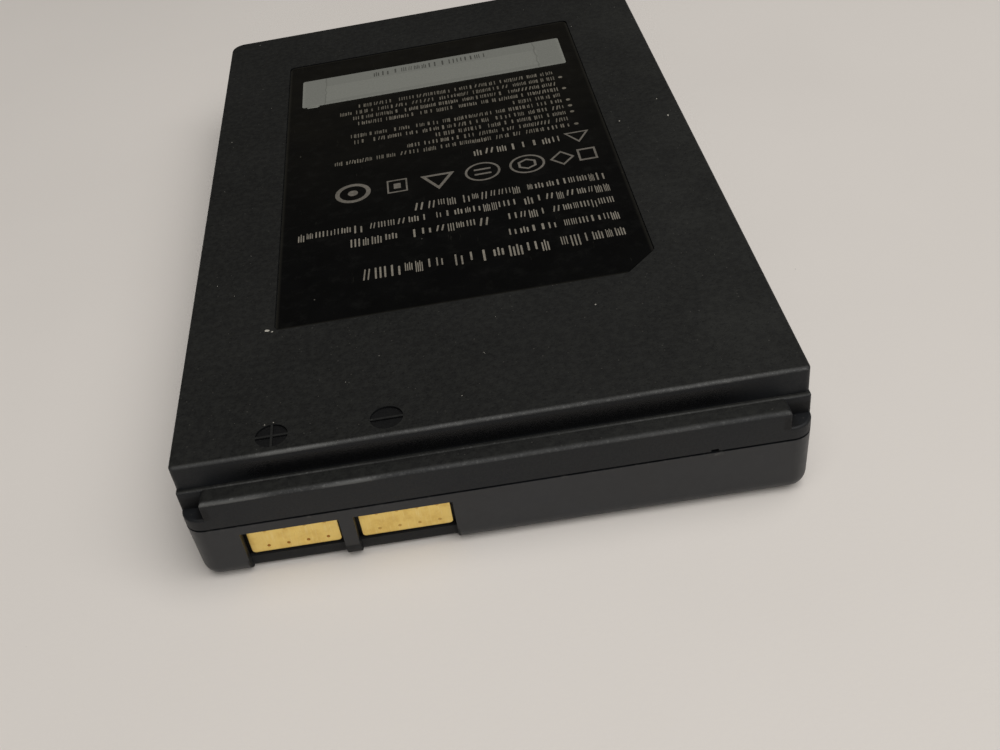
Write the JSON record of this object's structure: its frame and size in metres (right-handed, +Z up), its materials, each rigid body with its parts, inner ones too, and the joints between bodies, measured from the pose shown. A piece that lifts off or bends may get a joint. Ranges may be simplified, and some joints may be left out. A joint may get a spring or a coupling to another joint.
{
  "type": "lithium-polymer battery pack",
  "caption": "Slim rectangular hard-cased pouch cell battery pack with a stepped latch-rail front end and recessed gold contact plates in the front wall.",
  "frame": {"origin": "centre of the footprint, on the bottom face that the pack rests on", "axes": "+Z up out of the labelled face, +Y away from the contact end, +X to the right when looking along +Y"},
  "size_m": [0.076, 0.1252, 0.0172],
  "materials": {
    "upper_plastic": "fine-textured black moulded plastic",
    "lower_plastic": "smooth satin black moulded plastic",
    "label_film": "deep-black satin printed film",
    "strip_film": "silver-grey satin film",
    "gold_plating": "gold-plated, softly polished",
    "board_laminate": "green solder-masked glass-fibre laminate",
    "nickel": "rolled nickel strip",
    "tab_aluminium": "rolled aluminium strip",
    "tinned_copper": "tinned copper",
    "epoxy": "moulded black epoxy",
    "resistor_glaze": "black glazed ceramic chip",
    "capacitor_ceramic": "tan ceramic chip",
    "fuse_ceramic": "white ceramic body",
    "pouch_laminate": "satin aluminium laminate film",
    "electrode_foil": "coated electrode foils and separator, stacked",
    "sealing_film": "translucent white sealing film",
    "bead_resin": "black resin bead",
    "adhesive_tape": "white double-sided tape",
    "black_foam": "soft black foam",
    "insulating_paper": "grey-green insulating paper"
  },
  "bodies": {
    "root": {"base_tape": "adhesive_tape", "capacitor_1": "capacitor_ceramic", "capacitor_2": "capacitor_ceramic", "capacitor_3": "capacitor_ceramic", "cell_tape": "adhesive_tape", "contact_board": "board_laminate", "contact_negative": "gold_plating", "contact_positive": "gold_plating", "electrode_stack_lower": "electrode_foil", "electrode_stack_upper": "electrode_foil", "foam_pad": "black_foam", "fuse": "fuse_ceramic", "insulation_sheet": "insulating_paper", "label": "label_film", "lower_shell": "lower_plastic", "mosfet_charge": "epoxy", "mosfet_discharge": "epoxy", "pouch_cover_lower": "pouch_laminate", "pouch_cover_upper": "pouch_laminate", "pouch_cup_lower": "pouch_laminate", "pouch_cup_upper": "pouch_laminate", "power_link_minus": "tinned_copper", "power_link_plus": "tinned_copper", "protection_board": "board_laminate", "protection_chip": "epoxy", "resistor_1": "resistor_glaze", "resistor_2": "resistor_glaze", "resistor_3": "resistor_glaze", "resistor_4": "resistor_glaze", "sense_resistor": "resistor_glaze", "serial_strip": "strip_film", "solder_plate_middle_bottom": "nickel", "solder_plate_middle_top": "nickel", "solder_plate_minus": "nickel", "solder_plate_plus": "nickel", "tab_negative_lower": "nickel", "tab_negative_upper": "nickel", "tab_positive_lower": "tab_aluminium", "tab_positive_upper": "tab_aluminium", "tab_seal_negative_lower": "sealing_film", "tab_seal_negative_upper": "sealing_film", "tab_seal_positive_lower": "sealing_film", "tab_seal_positive_upper": "sealing_film", "thermistor": "bead_resin", "thermistor_leads": "tinned_copper", "upper_shell": "upper_plastic"}
  },
  "joints": []
}
